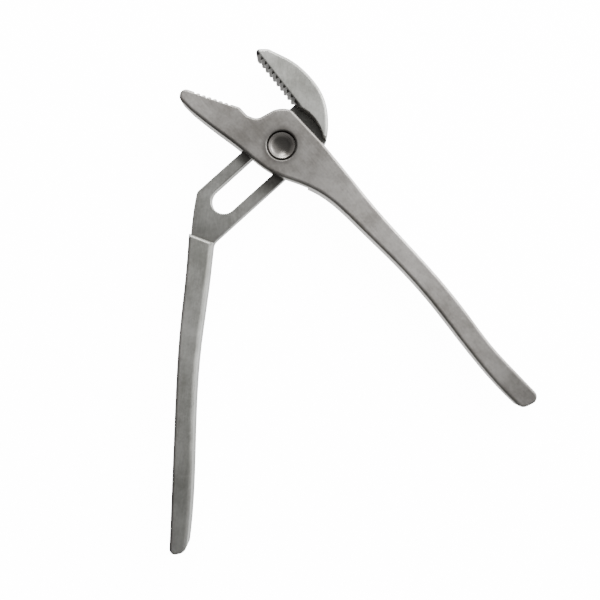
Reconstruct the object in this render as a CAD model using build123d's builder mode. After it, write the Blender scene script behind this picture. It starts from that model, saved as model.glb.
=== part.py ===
"""Plier-form nutcracker with a sliding tongue-and-groove joint.

Millimetres. The origin is on the pivot axis at the end of the bolt, +Z points to the
bolt head, +Y to the jaws. The pose is the open stop: levers wide apart, bolt at the jaw
end of the slot.
"""
import os
from math import atan2, cos, degrees, hypot, radians, sin

from build123d import *

os.makedirs("parts", exist_ok=True)

# ---------------------------------------------------------------- levels along Z
nut_back = 0.6
nut_thickness = 2.8
washer_back = 3.45
washer_thickness = 1.0
back_face = 4.5          # back of both levers
front_face = 15.5        # front of both levers
joint_plane = 10.0       # where the two half-thickness plates meet
joint_gap = 0.05         # each plate stays this far from the joint plane

# ---------------------------------------------------------------- slotted bar
bar_angle = 42.0         # direction of the slot, from +X
bar_half_width = 12.6
slot_width = 13.2
slot_run = 40.0          # from the pivot to the centre of the far slot end
slot_spare = 0.4         # the same beyond the pivot at the jaw end
jaw_wall_radius = 21.2   # step from the bar up to the jaw, round the pivot

# ---------------------------------------------------------------- adjusting catch
catch_pitch = 8.0
catch_settings = 4
tongue_inner = 14.8
tongue_outer = 16.8
tongue_height = 1.6
tongue_start = 102.5     # degrees round the pivot, just clear of the bar when wide open
tongue_end = 150.0
catch_clearance = 0.2
closed_turn = 42.0       # degrees from wide open to jaw tips together

# ---------------------------------------------------------------- teeth
tooth_pitch = 3.0
tooth_depth = 1.0
tooth_mouth = 2.6        # width of a tooth gap at the jaw line
upper_gaps = 10
lower_gaps = 7

# ---------------------------------------------------------------- pivot bolt
head_radius = 6.8
head_top = 15.2
seat_level = 12.2        # floor of the counterbore in the front lever
seat_radius = 7.35
seat_rim = 0.9
head_fall = 0.3          # the head's rim slopes down this much towards the dish
dish_radius = 5.2
dish_depth = 1.1
shank_radius = 6.4
thread_radius = 4.9
running_gap = 0.06
nut_across_flats = 15.0
washer_radius = 10.5

# ---------------------------------------------------------------- edges
handle_round = 1.6
front_round = 1.6
jaw_back_round = 1.8
jaw_round = 0.7
heel_round = 0.8
back_round = 1.0
bar_round = 0.6


def along_bar(run, offset):
    """Point at a run along the slot from the pivot and an offset to its upper left."""
    turn = radians(bar_angle)
    return (run * cos(turn) - offset * sin(turn), run * sin(turn) + offset * cos(turn))


def polar(radius, angle):
    """Point at a radius and an angle round the pivot."""
    return (radius * cos(radians(angle)), radius * sin(radians(angle)))


def nearest_corner(sketch, point):
    """The sketch corner closest to a point."""
    return sketch.vertices().sort_by_distance(point)[0]


def front_edges(piece, wanted):
    """Edges of the frontmost faces that pass a test."""
    return piece.edges().group_by(Axis.Z)[-1].filter_by(wanted)


def ring_piece(inner_radius, outer_radius, first_angle, last_angle):
    """Flat piece of a ring round the pivot."""
    middle = (first_angle + last_angle) / 2
    with BuildSketch(mode=Mode.PRIVATE) as piece:
        with BuildLine():
            ThreePointArc(
                polar(inner_radius, first_angle),
                polar(inner_radius, middle),
                polar(inner_radius, last_angle),
            )
            Line(polar(inner_radius, last_angle), polar(outer_radius, last_angle))
            ThreePointArc(
                polar(outer_radius, last_angle),
                polar(outer_radius, middle),
                polar(outer_radius, first_angle),
            )
            Line(polar(outer_radius, first_angle), polar(inner_radius, first_angle))
        make_face()
    return piece.sketch_local


def tooth_gaps(first_gap, jaw_line_end, count):
    """Places of the gaps between teeth, each turned to lie square on the jaw line."""
    run_x = jaw_line_end[0] - first_gap[0]
    run_y = jaw_line_end[1] - first_gap[1]
    length = hypot(run_x, run_y)
    turn = degrees(atan2(run_y, run_x))
    return [
        Location(
            (
                first_gap[0] + run_x * tooth_pitch * index / length,
                first_gap[1] + run_y * tooth_pitch * index / length,
            ),
            turn,
        )
        for index in range(count)
    ]


# ================================================================ rear lever
upper_tip = (-14.7, 48.6)
upper_teeth_end = (6.2, 22.1)
upper_first_gap = (-11.3, 44.3)
jaw_heel = along_bar(18.6, -bar_half_width)
fork_corner = along_bar(-47.2, bar_half_width)
handle_corner = along_bar(-58.6, -bar_half_width)
rear_handle_left = [
    (-45.3, -32.0),
    (-47.9, -60.0),
    (-51.4, -94.0),
    (-53.6, -131.0),
    (-55.3, -173.0),
    (-56.7, -206.4),
]
rear_handle_right = [
    (-48.2, -204.4),
    (-45.7, -178.0),
    (-44.4, -139.0),
    (-41.9, -102.0),
    (-38.5, -77.0),
    (-36.2, -58.0),
]
heel_inner = polar(jaw_wall_radius, 12)
heel_outer = (26.0, 2.9)
heel_back = (22.4, 4.0)
upper_jaw_back = [(23.4, 9.0), (20.6, 25.8), (12.4, 36.9), (3.4, 43.8), (-5.0, 47.9)]
handle_step_left = (-52.0, -42.0)
handle_step_right = (-25.0, -52.4)


def is_jaw_back_edge(edge):
    """Edges round the outside of the upper jaw, from the heel over the tip."""
    at_tip = edge.geom_type == GeomType.CIRCLE and edge.center().X < -10
    return edge.center().Y > 0 and (edge.geom_type == GeomType.BSPLINE or at_tip)


def is_other_jaw_edge(edge):
    """Edges along the teeth and round the wall of the upper jaw."""
    return edge.center().Y > 0 and not is_jaw_back_edge(edge)


def is_upper_left_edge(edge):
    """Long outer edges of the bar on its upper-left side, from the jaw to the handle."""
    return edge.length > 2 and edge.center().X < -15 and (
        edge.center().Y > -1 or edge.center().X < -42
    )


with BuildPart() as rear_lever:
    with BuildSketch(Plane.XY.offset(back_face)) as rear_outline:
        with BuildLine():
            Line(upper_tip, upper_teeth_end)
            Line(upper_teeth_end, fork_corner)
            Spline([fork_corner] + rear_handle_left)
            Line(rear_handle_left[-1], rear_handle_right[0])
            Spline(rear_handle_right)
            Line(rear_handle_right[-1], handle_corner)
            Line(handle_corner, jaw_heel)
            Spline(
                [jaw_heel] + upper_jaw_back + [upper_tip],
                tangents=[(0.45, 0.9), (-1, -0.02)],
            )
        make_face()
        for corner, radius in [
            (upper_tip, 1.7),
            (fork_corner, 4.0),
            (rear_handle_left[-1], 3.0),
            (rear_handle_right[0], 4.5),
            (handle_corner, 5.0),
        ]:
            fillet(nearest_corner(rear_outline, corner), radius)
    extrude(amount=front_face - back_face)

    # The bar is half as thick as the jaw and the handle.
    with BuildSketch(Plane.XY.offset(joint_plane - joint_gap)):
        Circle(jaw_wall_radius)
        with BuildLine():
            Polyline(
                upper_teeth_end,
                (9.3, 18.2),
                (0, 0),
                heel_inner,
                heel_outer,
                handle_step_right,
                handle_step_left,
                along_bar(-30, 30),
                close=True,
            )
        make_face()
    extrude(amount=front_face, mode=Mode.SUBTRACT)
    upright_edges = rear_lever.edges().filter_by(Axis.Z)
    fillet(
        [
            upright_edges.sort_by_distance(heel_inner + (front_face,))[0],
            upright_edges.sort_by_distance(heel_back + (front_face,))[0],
        ],
        heel_round,
    )
    fillet(front_edges(rear_lever, is_jaw_back_edge), jaw_back_round)
    fillet(front_edges(rear_lever, is_other_jaw_edge), jaw_round)
    fillet(front_edges(rear_lever, lambda edge: edge.center().Y < 0), handle_round)
    fillet(rear_lever.edges().group_by(Axis.Z)[0], back_round)

    # Slot for the pivot bolt.
    with BuildSketch(Plane.XY.offset(back_face)):
        with Locations(along_bar((slot_spare - slot_run) / 2, 0)):
            SlotCenterToCenter(slot_run + slot_spare, slot_width, rotation=bar_angle)
    extrude(amount=joint_plane - back_face, mode=Mode.SUBTRACT)
    bar_top = rear_lever.faces().filter_by(Axis.Z).sort_by_distance(
        along_bar(-25, 9.5) + (joint_plane,)
    )[0]
    fillet(
        bar_top.inner_wires()[0].edges() + bar_top.edges().filter_by(is_upper_left_edge),
        bar_round,
    )

    # Teeth across the whole thickness of the upper jaw.
    with BuildSketch(Plane.XY.offset(back_face - 1)):
        for place in tooth_gaps(upper_first_gap, upper_teeth_end, upper_gaps):
            with Locations(place):
                Polygon(
                    (-tooth_mouth / 2, 0.01), (0, -tooth_depth), (tooth_mouth / 2, 0.01),
                    (0, 2), align=None,
                )
    extrude(amount=front_face, mode=Mode.SUBTRACT)

    # Grooves across the bar for the tongue, one for each setting of the bolt.
    with BuildSketch(Plane.XY.offset(joint_plane - tongue_height - catch_clearance)) as groove:
        for setting in range(catch_settings):
            with Locations(along_bar(-setting * catch_pitch, 0)):
                add(ring_piece(tongue_inner - catch_clearance, tongue_outer + catch_clearance,
                               tongue_start - closed_turn - 1.0, tongue_end - closed_turn + 1.0))
    extrude(amount=tongue_height + catch_clearance, mode=Mode.SUBTRACT)

rear_lever.part.label = "rear_lever"
export_step(rear_lever.part, "parts/rear_lever.step")

# ================================================================ front lever
lower_tip = (-51.4, 23.4)
lower_nib = (-51.4, 29.7)
lower_teeth_end = (-21.0, 19.3)
lower_first_gap = (-43.0, 26.55)
front_shoulder = (-17.3, 15.3)
front_throat = (-12.4, 13.4)
bump_start = polar(18.3, 104)
bump_end = polar(18.6, 74)
front_handle_top = [
    (20.4, 1.6),
    (32.0, -12.4),
    (46.7, -30.4),
    (77.5, -64.4),
    (92.3, -82.4),
    (105.9, -100.3),
    (119.7, -115.2),
    (131.6, -127.6),
]
front_handle_low = [
    (121.3, -132.6),
    (103.4, -114.1),
    (88.5, -95.4),
    (73.9, -76.8),
    (56.9, -58.2),
    (39.9, -41.5),
    (19.6, -23.9),
    (9.5, -19.0),
    (-4.5, -13.7),
    (-20.5, -1.7),
    (-36.3, 10.2),
    (-45.8, 17.8),
]
slope_start = 34.0       # the handle thins from here to its end
slope_end = 132.5
end_thinning = 1.6       # taken off each face at the end of the handle
strip_half_width = bar_half_width + 0.35
strip_side = 13.2

with BuildPart() as front_lever:
    with BuildSketch(Plane.XY.offset(back_face)) as front_outline:
        with BuildLine():
            Line(lower_tip, lower_nib)
            Line(lower_nib, lower_teeth_end)
            Line(lower_teeth_end, front_shoulder)
            Line(front_shoulder, front_throat)
            Line(front_throat, bump_start)
            ThreePointArc(bump_start, polar(18.7, 89), bump_end)
            Line(bump_end, front_handle_top[0])
            Spline(front_handle_top)
            Line(front_handle_top[-1], front_handle_low[0])
            Spline(front_handle_low)
            Line(front_handle_low[-1], lower_tip)
        make_face()
        for corner, radius in [
            (lower_tip, 3.2),
            (lower_nib, 3.4),
            (lower_teeth_end, 2.5),
            (front_shoulder, 3.5),
            (front_throat, 5.0),
            (bump_start, 2.5),
            (bump_end, 5.0),
            (front_handle_top[-1], 4.0),
            (front_handle_low[0], 4.5),
        ]:
            fillet(nearest_corner(front_outline, corner), radius)
    extrude(amount=front_face - back_face)

    # The handle thins evenly on both faces towards its end.
    with BuildSketch(Plane.XZ.offset(-10)):
        with BuildLine():
            Polyline(
                (slope_start, front_face), (slope_end, front_face - end_thinning),
                (slope_end, front_face + 3), (slope_start, front_face + 3), close=True,
            )
        make_face()
        with BuildLine():
            Polyline(
                (slope_start, back_face), (slope_end, back_face + end_thinning),
                (slope_end, back_face - 3), (slope_start, back_face - 3), close=True,
            )
        make_face()
    extrude(amount=160, mode=Mode.SUBTRACT)
    fillet(
        front_lever.edges().filter_by(lambda edge: abs(edge.center().Z - joint_plane) > 3),
        front_round,
    )

    # Half-thickness pocket in the back for the bar, wherever the levers turn or slide.
    jaw_side = along_bar(0, strip_half_width)
    handle_side = along_bar(0, -strip_half_width)
    jaw_side_run = (-strip_side - jaw_side[0]) / cos(radians(bar_angle))
    handle_side_run = (strip_side - handle_side[0]) / cos(radians(bar_angle))
    with BuildSketch(Plane.XY.offset(back_face - 1)) as pocket:
        with BuildLine():
            Polyline(
                along_bar(-60, strip_half_width),
                along_bar(jaw_side_run, strip_half_width),
                (-strip_side, 40),
                along_bar(70, 0),
                along_bar(60, -strip_half_width),
                along_bar(handle_side_run, -strip_half_width),
                (strip_side, -50),
                (-20, -50),
                close=True,
            )
        make_face()
        fillet(nearest_corner(pocket, along_bar(jaw_side_run, strip_half_width)), 2)
        fillet(nearest_corner(pocket, along_bar(handle_side_run, -strip_half_width)), 2)
    extrude(amount=joint_plane + joint_gap - back_face + 1, mode=Mode.SUBTRACT)

    # Tongue that drops into the grooves of the bar as the levers close.
    with BuildSketch(Plane.XY.offset(joint_plane + joint_gap - tongue_height)):
        add(ring_piece(tongue_inner, tongue_outer, tongue_start, tongue_end))
    extrude(amount=tongue_height)

    # Teeth across the whole thickness of the lower jaw.
    with BuildSketch(Plane.XY.offset(back_face - 1)):
        for place in tooth_gaps(lower_first_gap, lower_teeth_end, lower_gaps):
            with Locations(place):
                Polygon(
                    (-tooth_mouth / 2, 0.01), (0, -tooth_depth), (tooth_mouth / 2, 0.01),
                    (0, 2), align=None,
                )
    extrude(amount=front_face, mode=Mode.SUBTRACT)

    # Seat and bore for the pivot bolt.
    with Locations((0, 0, front_face)):
        CounterBoreHole(
            radius=shank_radius + running_gap,
            counter_bore_radius=seat_radius,
            counter_bore_depth=front_face - seat_level,
        )
    seat_mouth = front_lever.edges().filter_by(GeomType.CIRCLE).filter_by(
        lambda edge: abs(edge.radius - seat_radius) < 0.01 and edge.center().Z > front_face - 0.1
    )
    fillet(seat_mouth, seat_rim)

front_lever.part.label = "front_lever"
export_step(front_lever.part, "parts/front_lever.step")

# ================================================================ pivot bolt
dish_floor = head_top - head_fall - 0.15 - dish_depth
dish_sphere = (dish_radius ** 2 + dish_depth ** 2) / (2 * dish_depth)
half_way_rise = dish_sphere - (dish_sphere ** 2 - dish_radius ** 2 / 4) ** 0.5

with BuildPart() as pivot_bolt:
    with BuildSketch(Plane.XZ) as bolt_profile:
        with BuildLine():
            Polyline(
                (0, 0),
                (thread_radius - 0.6, 0),
                (thread_radius, 0.6),
                (thread_radius, washer_back + washer_thickness),
                (shank_radius, washer_back + washer_thickness),
                (shank_radius, seat_level + 0.02),
                (head_radius, seat_level + 0.02),
                (head_radius, head_top - 0.35),
                (head_radius - 0.35, head_top),
                (dish_radius + 0.3, head_top - head_fall),
                (dish_radius, dish_floor + dish_depth),
            )
            ThreePointArc(
                (dish_radius, dish_floor + dish_depth),
                (dish_radius / 2, dish_floor + half_way_rise),
                (0, dish_floor),
            )
            Line((0, dish_floor), (0, 0))
        make_face()
    revolve(axis=Axis.Z)

pivot_bolt.part.label = "pivot_bolt"
export_step(pivot_bolt.part, "parts/pivot_bolt.step")

# ================================================================ washer and nut
with BuildPart() as pivot_washer:
    with BuildSketch(Plane.XY.offset(washer_back)):
        Circle(washer_radius)
        Circle(thread_radius + 0.1, mode=Mode.SUBTRACT)
    extrude(amount=washer_thickness)
    fillet(pivot_washer.edges().filter_by(GeomType.CIRCLE).sort_by(SortBy.RADIUS)[-2:], 0.25)

pivot_washer.part.label = "pivot_washer"
export_step(pivot_washer.part, "parts/pivot_washer.step")

with BuildPart() as pivot_nut:
    with BuildSketch(Plane.XY.offset(nut_back)):
        RegularPolygon(nut_across_flats / 2, 6, major_radius=False, rotation=12)
        Circle(thread_radius + 0.03, mode=Mode.SUBTRACT)
    extrude(amount=nut_thickness)
    # Corners turned off at 30 degrees on both faces.
    corner = nut_across_flats / 3 ** 0.5
    flat_edge = nut_across_flats / 2 - 0.2
    drop = (corner - flat_edge) / 3 ** 0.5
    with BuildSketch(Plane.XZ):
        with BuildLine():
            Polyline(
                (0, nut_back),
                (flat_edge, nut_back),
                (corner, nut_back + drop),
                (corner, nut_back + nut_thickness - drop),
                (flat_edge, nut_back + nut_thickness),
                (0, nut_back + nut_thickness),
                close=True,
            )
        make_face()
    revolve(axis=Axis.Z, mode=Mode.INTERSECT)

pivot_nut.part.label = "pivot_nut"
export_step(pivot_nut.part, "parts/pivot_nut.step")
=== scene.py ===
"""Looks for the plier-form nutcracker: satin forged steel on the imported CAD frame."""

import math

import bpy
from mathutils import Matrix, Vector


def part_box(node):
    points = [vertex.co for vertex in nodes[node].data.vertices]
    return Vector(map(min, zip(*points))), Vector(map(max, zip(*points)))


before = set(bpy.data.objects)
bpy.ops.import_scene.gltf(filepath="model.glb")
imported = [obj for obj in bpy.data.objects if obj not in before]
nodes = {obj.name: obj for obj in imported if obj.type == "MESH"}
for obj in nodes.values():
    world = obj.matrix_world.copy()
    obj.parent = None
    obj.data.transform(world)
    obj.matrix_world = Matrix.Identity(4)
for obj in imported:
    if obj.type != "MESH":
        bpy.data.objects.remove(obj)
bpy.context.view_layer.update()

# ---------------------------------------------------------------- camera
# It looks straight down on the tool, in metres from the pivot, with the lens in millimetres.
camera_x = 0.0092
camera_y = -0.0775
height_above_face = 0.262
lens = 31.44

front_face_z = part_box("rear_lever")[1].z
camera_data = bpy.data.cameras.new("camera")
camera_data.sensor_width = 36.0
camera_data.lens = lens
camera_data.clip_start = 0.01
camera_data.clip_end = 100.0
camera = bpy.data.objects.new("camera", camera_data)
bpy.context.scene.collection.objects.link(camera)
camera.location = (camera_x, camera_y, front_face_z + height_above_face)
camera.rotation_euler = (0.0, 0.0, 0.0)
bpy.context.scene.camera = camera


# ---------------------------------------------------------------- materials
class Graph:
    """Short hand for building one node tree, of a material or of the world."""

    def __init__(self, owner):
        self.tree = owner.node_tree
        self.tree.nodes.clear()

    def node(self, kind, **inputs):
        """A new node with some of its inputs set or linked."""
        made = self.tree.nodes.new(kind)
        for name, value in inputs.items():
            self.set(made, name, value)
        return made

    def set(self, made, name, value):
        """Sets or links one input: its name with _ for a space, or i3 for input number 3."""
        if name[0] == "i" and name[1:].isdigit():
            socket = made.inputs[int(name[1:])]
        else:
            socket = made.inputs[name.replace("_", " ")]
        if isinstance(value, bpy.types.NodeSocket):
            self.tree.links.new(value, socket)
        else:
            socket.default_value = value

    def math(self, operation, a, b=None, clamp=False):
        """One scalar operation."""
        made = self.tree.nodes.new("ShaderNodeMath")
        made.operation = operation
        made.use_clamp = clamp
        for index, value in enumerate((a, b)):
            if value is not None:
                self.set(made, f"i{index}", value)
        return made.outputs[0]

    def total(self, *terms):
        """Sum of (value, weight) pairs."""
        result = self.math("MULTIPLY", *terms[0])
        for value, weight in terms[1:]:
            result = self.math("ADD", result, self.math("MULTIPLY", value, weight))
        return result

    def ramp(self, value, low, high, out_low=0.0, out_high=1.0):
        """Smooth step from out_low at low to out_high at high, and low may be the larger one."""
        made = self.tree.nodes.new("ShaderNodeMapRange")
        made.interpolation_type = "SMOOTHSTEP"
        self.set(made, "Value", value)
        self.set(made, "From_Min", low)
        self.set(made, "From_Max", high)
        self.set(made, "To_Min", out_low)
        self.set(made, "To_Max", out_high)
        return made.outputs["Result"]

    def mix(self, factor, a, b, blend="MIX"):
        """Two colours mixed or blended."""
        made = self.tree.nodes.new("ShaderNodeMix")
        made.data_type = "RGBA"
        made.blend_type = blend
        self.set(made, "i0", factor)
        self.set(made, "i6", a)
        self.set(made, "i7", b)
        return made.outputs[2]

    def noise(self, where, scale, detail=2.0, roughness=0.5):
        """Noise with so many features in a metre."""
        made = self.node("ShaderNodeTexNoise", Vector=where, Scale=scale, Detail=detail,
                         Roughness=roughness)
        return made.outputs["Fac"]


def coordinates(graph, turn=0.0, stretch=(1.0, 1.0, 1.0), shift=(0.0, 0.0, 0.0)):
    """Object coordinates turned about Z by degrees, so that X runs along the lever, then stretched."""
    place = graph.node("ShaderNodeTexCoord")
    turned = graph.tree.nodes.new("ShaderNodeVectorRotate")
    turned.rotation_type = "Z_AXIS"
    graph.set(turned, "Vector", place.outputs["Object"])
    graph.set(turned, "Angle", math.radians(-turn))
    mapped = graph.tree.nodes.new("ShaderNodeMapping")
    graph.set(mapped, "Vector", turned.outputs[0])
    graph.set(mapped, "Scale", stretch)
    graph.set(mapped, "Location", shift)
    return mapped.outputs[0]


# Tint of the painted shade, and of steel where no other is given.
SHADE_TINT = (1.0, 0.94, 0.87)
WARM_STEEL = (1, 0.97, 0.93)
# Radius of the edges brightened by painted highlight and wear, and how far a wall casts painted shade
# into the crevice beside it, in metres.
EDGE_RADIUS = 0.0006
CREVICE_REACH = 0.004
# Lines on the levers, in metres: a point of each, and the normal that distance is measured along.
HANDLE_STEP = ((-0.0520, -0.0420), (0.359, 0.933))
UPPER_TEETH = ((-0.0139, 0.0476), (0.785, 0.619))
LOWER_TEETH = ((-0.0219, 0.0196), (-0.3225, -0.9466))


def tinted(value, tint):
    """A grey of one value with a faint tint."""
    return tuple(value * part for part in tint) + (1.0,)


def forged_steel(name, tone, grain_turn, roughness=0.42, tint=WARM_STEEL, seed=0.0,
                 along_tone=None, joint_shade=None):
    """Tumbled forged steel: mottled satin grey, fine grain along the lever, edges brightened by painted
    highlight and wear.

    along_tone(graph, xyz) gives a multiplier of the tone from place to place, and the joint
    function, called with (graph, xyz, mottle), a mask of painted shade round the joint.
    """
    material = bpy.data.materials.new(name)
    material.use_nodes = True
    g = Graph(material)
    shift = (seed, seed * 0.37, seed * 0.71)
    plain = coordinates(g, 0, (1, 1, 1), shift)
    along = coordinates(g, grain_turn, (0.10, 1, 1), shift)
    place = g.node("ShaderNodeSeparateXYZ", Vector=g.node("ShaderNodeTexCoord").outputs["Object"])
    xyz = place.outputs

    # Mottling from large to small, grain along the lever and a few slanted scratches.
    mottle = g.noise(plain, 70.0, 4.0, 0.65)
    blotch = g.noise(plain, 22.0, 2.0, 0.5)
    speckle = g.noise(plain, 950.0, 3.0, 0.7)
    grain = g.noise(along, 1300.0, 3.0, 0.6)
    scratch = g.noise(coordinates(g, grain_turn + 24, (0.03, 1, 1), shift), 480.0, 1.0, 0.5)
    scratch_mask = g.ramp(scratch, 0.68, 0.74)

    shade = g.total((mottle, 0.44), (blotch, 0.26), (speckle, 0.15), (grain, 0.15))
    dull = tuple(part ** 1.7 for part in tint)
    colour = g.mix(g.ramp(shade, 0.36, 0.64), tinted(tone * 0.72, dull), tinted(tone * 1.24, tint))
    colour = g.mix(g.math("MULTIPLY", scratch_mask, 0.12), colour, tinted(tone * 1.7, tint))
    if along_tone:
        factor = along_tone(g, xyz)
        level = g.tree.nodes.new("ShaderNodeCombineColor")
        for index in range(3):
            g.set(level, f"i{index}", factor)
        colour = g.mix(1.0, colour, level.outputs[0], "MULTIPLY")

    # Painted edge highlight, partly wear: edges brighter where a rounded normal leaves the true one.
    bevel = g.node("ShaderNodeBevel", Radius=EDGE_RADIUS)
    bevel.samples = 6
    true_normal = g.node("ShaderNodeNewGeometry").outputs["Normal"]
    alignment = g.tree.nodes.new("ShaderNodeVectorMath")
    alignment.operation = "DOT_PRODUCT"
    g.set(alignment, "i0", bevel.outputs[0])
    g.set(alignment, "i1", true_normal)
    edge_wear_and_highlight = g.ramp(alignment.outputs["Value"], 0.995, 0.90)
    edge_wear_and_highlight = g.math("MULTIPLY", edge_wear_and_highlight, g.ramp(mottle, 0.3, 0.6, 0.3, 0.9))
    colour = g.mix(edge_wear_and_highlight, colour, tinted(min(tone * 1.9, 0.9), tint))

    # Painted shade: darker in the crevices, where walls stand near, and round the joint.
    cover = g.node("ShaderNodeAmbientOcclusion", Distance=CREVICE_REACH)
    cover.samples = 6
    cover.only_local = True
    crevice_shade = g.ramp(cover.outputs["AO"], 0.75, 0.15)
    crevice_shade = g.math("MULTIPLY", crevice_shade, g.ramp(mottle, 0.25, 0.6, 0.6, 1.0))
    colour = g.mix(g.math("MULTIPLY", crevice_shade, 0.75), colour, tinted(tone * 0.13, SHADE_TINT))
    # Painted shade round the joint, from each part's own mask.
    if joint_shade:
        joint_painted_shade = g.math("MULTIPLY", joint_shade(g, xyz, mottle), g.ramp(speckle, 0.2, 0.7, 0.82, 1.0))
        colour = g.mix(joint_painted_shade, colour, tinted(tone * 0.12, SHADE_TINT))

    rough = g.math("ADD", roughness - 0.11, g.math("MULTIPLY", mottle, 0.12))
    rough = g.math("ADD", rough, g.math("MULTIPLY", speckle, 0.12))
    rough = g.math("SUBTRACT", rough, g.math("MULTIPLY", edge_wear_and_highlight, 0.10), clamp=True)

    # A wavy forged surface with fine grit on it.
    height = g.total((speckle, 0.5), (grain, 0.5))
    wavy = g.node("ShaderNodeBump", Height=g.noise(plain, 130.0, 2.0, 0.5), Strength=0.22,
                  Distance=0.00035)
    fine = g.node("ShaderNodeBump", Height=height, Strength=0.25, Distance=0.00012)
    g.tree.links.new(wavy.outputs[0], fine.inputs["Normal"])

    shader = g.node("ShaderNodeBsdfPrincipled", Base_Color=colour, Metallic=1.0, Roughness=rough)
    g.tree.links.new(fine.outputs[0], shader.inputs["Normal"])
    output = g.tree.nodes.new("ShaderNodeOutputMaterial")
    g.tree.links.new(shader.outputs[0], output.inputs["Surface"])
    return material


def pivot_distance(g, xyz):
    """Distance from the pivot axis, in metres."""
    square = g.math("ADD", g.math("MULTIPLY", xyz[0], xyz[0]), g.math("MULTIPLY", xyz[1], xyz[1]))
    return g.math("SQRT", square)


def line_distance(g, xyz, line):
    """Signed distance from a line in the XY plane, in metres, along its normal."""
    start, across = line
    run = g.math("ADD", g.math("MULTIPLY", xyz[0], across[0]), g.math("MULTIPLY", xyz[1], across[1]))
    return g.math("SUBTRACT", run, across[0] * start[0] + across[1] * start[1])


def rear_tone(g, xyz):
    """Bright jaw, darker bar, handle that darkens to its end."""
    jaw = g.ramp(xyz[1], -0.010, 0.020, 0.0, 0.10)
    handle = g.ramp(xyz[1], -0.040, -0.052, 0.0, 0.22)
    handle_end = g.ramp(xyz[1], -0.090, -0.205, 0.0, 0.36)
    total = g.math("ADD", g.math("ADD", jaw, 0.78), handle)
    return g.math("SUBTRACT", total, handle_end)


def front_tone(g, xyz):
    """A little brighter along the jaw and the handle than round the boss."""
    away = g.ramp(pivot_distance(g, xyz), 0.014, 0.055, 0.0, 0.23)
    handle_end = g.ramp(xyz[0], 0.090, 0.128, 0.0, 0.32)
    return g.math("SUBTRACT", g.math("ADD", away, 0.66), handle_end)


def rear_painted_shade(g, xyz, mottle):
    """Painted shade on the bar's face round the pivot, at the foot of the handle's step and in the
    tooth gaps.
    """
    distance = g.math("ADD", pivot_distance(g, xyz), g.math("MULTIPLY", mottle, 0.004))
    near = g.ramp(distance, 0.0285, 0.0205, 0.0, 0.66)
    fading = g.ramp(distance, 0.046, 0.026, 0.0, 0.22)
    step = g.ramp(line_distance(g, xyz, HANDLE_STEP), 0.018, 0.0, 0.0, 0.42)
    bar = g.math("ADD", g.math("ADD", near, fading), step)
    below_full_height = g.ramp(xyz[2], 0.0118, 0.0102)
    bar = g.math("MULTIPLY", bar, below_full_height)
    teeth = g.ramp(line_distance(g, xyz, UPPER_TEETH), 0.0019, 0.0008)
    teeth = g.math("MULTIPLY", teeth, g.ramp(xyz[1], 0.018, 0.022, 0.0, 0.93))
    return g.math("MAXIMUM", bar, teeth)


def front_painted_shade(g, xyz, mottle):
    """Painted shade: a soft dark ring round the bolt's seat, and the tooth gaps."""
    distance = g.math("ADD", pivot_distance(g, xyz), g.math("MULTIPLY", mottle, 0.002))
    seat = g.ramp(distance, 0.0122, 0.0088, 0.0, 0.50)
    teeth = g.ramp(line_distance(g, xyz, LOWER_TEETH), 0.0011, 0.0004)
    teeth = g.math("MULTIPLY", teeth, g.ramp(xyz[0], -0.019, -0.023, 0.0, 0.35))
    return g.math("MAXIMUM", seat, teeth)


def bolt_painted_shade(g, xyz, mottle):
    """Painted dark reflection in the dish of the bolt head."""
    distance = g.math("ADD", pivot_distance(g, xyz), g.math("MULTIPLY", mottle, 0.001))
    return g.math("MULTIPLY", g.ramp(distance, 0.0060, 0.0044), 0.70)


def dress(node, material):
    """Gives every material slot of a CAD node one material."""
    slots = nodes[node].material_slots
    if not slots:
        nodes[node].data.materials.append(material)
    for each in slots:
        each.material = material


dress("front_lever", forged_steel("front_steel", 0.40, -50, tint=(1, 0.965, 0.92), seed=0.0,
                                  along_tone=front_tone, joint_shade=front_painted_shade))
dress("rear_lever", forged_steel("rear_steel", 0.40, 82, tint=(1, 1.0, 0.95), seed=3.1,
                                 along_tone=rear_tone, joint_shade=rear_painted_shade))
dress("pivot_bolt", forged_steel("bolt_steel", 0.19, 0, roughness=0.25, tint=(1, 0.95, 0.90),
                                 seed=7.7, joint_shade=bolt_painted_shade))
dress("pivot_washer", forged_steel("washer_steel", 0.45, 0, roughness=0.3, seed=11.3))
dress("pivot_nut", forged_steel("nut_steel", 0.38, 0, roughness=0.36, seed=17.9))

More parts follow.
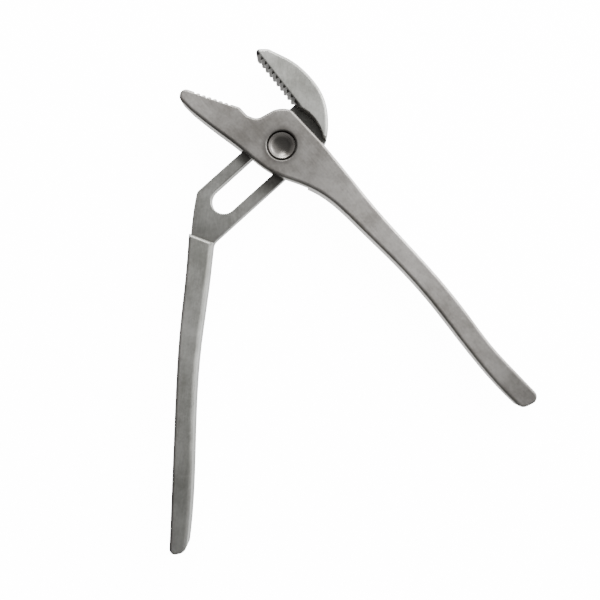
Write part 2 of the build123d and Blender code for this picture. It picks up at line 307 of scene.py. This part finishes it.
# ---------------------------------------------------------------- floor
# It is wide, so that low side views show no end of it.
floor_reach = 30.0
floor_corners = [(x * floor_reach, y * floor_reach, 0) for x, y in ((-1, -1), (1, -1), (1, 1), (-1, 1))]
floor_mesh = bpy.data.meshes.new("floor")
floor_mesh.from_pydata(floor_corners, [], [(0, 1, 2, 3)])
floor = bpy.data.objects.new("floor", floor_mesh)
bpy.context.scene.collection.objects.link(floor)
floor_material = bpy.data.materials.new("floor_white")
floor_material.use_nodes = True
floor_shader = floor_material.node_tree.nodes["Principled BSDF"]
floor_shader.inputs["Base Color"].default_value = (0.93, 0.93, 0.93, 1)
floor_shader.inputs["Roughness"].default_value = 0.9
floor_shader.inputs["Emission Color"].default_value = (1, 1, 1, 1)
floor_shader.inputs["Emission Strength"].default_value = 14.0
floor_mesh.materials.append(floor_material)
# The steel mirrors the studio below the horizon, as if the floor were far away.
floor.visible_glossy = False

# ---------------------------------------------------------------- light
# The studio is dim straight above, dark to the left and bright to the right, behind and below.
world = bpy.data.worlds.new("studio")
bpy.context.scene.world = world
world.use_nodes = True
sky = Graph(world)
direction = sky.node("ShaderNodeTexCoord").outputs["Generated"]


def towards(aim):
    """Cosine of the angle between a direction in the studio and an aim."""
    made = sky.tree.nodes.new("ShaderNodeVectorMath")
    made.operation = "DOT_PRODUCT"
    sky.set(made, "i0", direction)
    sky.set(made, "i1", Vector(aim).normalized())
    return made.outputs["Value"]


right_wall = sky.ramp(towards((0.70, 0.70, 0.05)), 0.30, 0.95, 0.0, 3.8)
left_dark = sky.ramp(towards((-0.85, -0.45, 0.10)), 0.30, 0.90, 0.0, 0.46)
underside = sky.ramp(towards((0.10, 0.0, -1.0)), 0.35, 0.95, 0.0, 1.7)
strength = sky.math("SUBTRACT", sky.math("ADD", right_wall, 0.60), left_dark)
strength = sky.math("ADD", strength, underside)
background = sky.node("ShaderNodeBackground", Color=(1, 1, 1, 1), Strength=strength)
world_output = sky.tree.nodes.new("ShaderNodeOutputWorld")
sky.tree.links.new(background.outputs[0], world_output.inputs["Surface"])


def softbox(name, place, target, width, height, power):
    """A rectangular lamp aimed at a target, in metres and watts."""
    data = bpy.data.lights.new(name, "AREA")
    data.shape = "RECTANGLE"
    data.size = width
    data.size_y = height
    data.energy = power
    lamp = bpy.data.objects.new(name, data)
    bpy.context.scene.collection.objects.link(lamp)
    lamp.location = place
    lamp.rotation_euler = (Vector(target) - Vector(place)).to_track_quat("-Z", "Y").to_euler()


middle_of_tool = (0.03, -0.07, 0.01)
softbox("key", (0.75, 0.60, 0.42), middle_of_tool, 0.5, 0.5, 8)
softbox("back", (-0.08, 0.85, 0.62), middle_of_tool, 0.26, 0.10, 5)
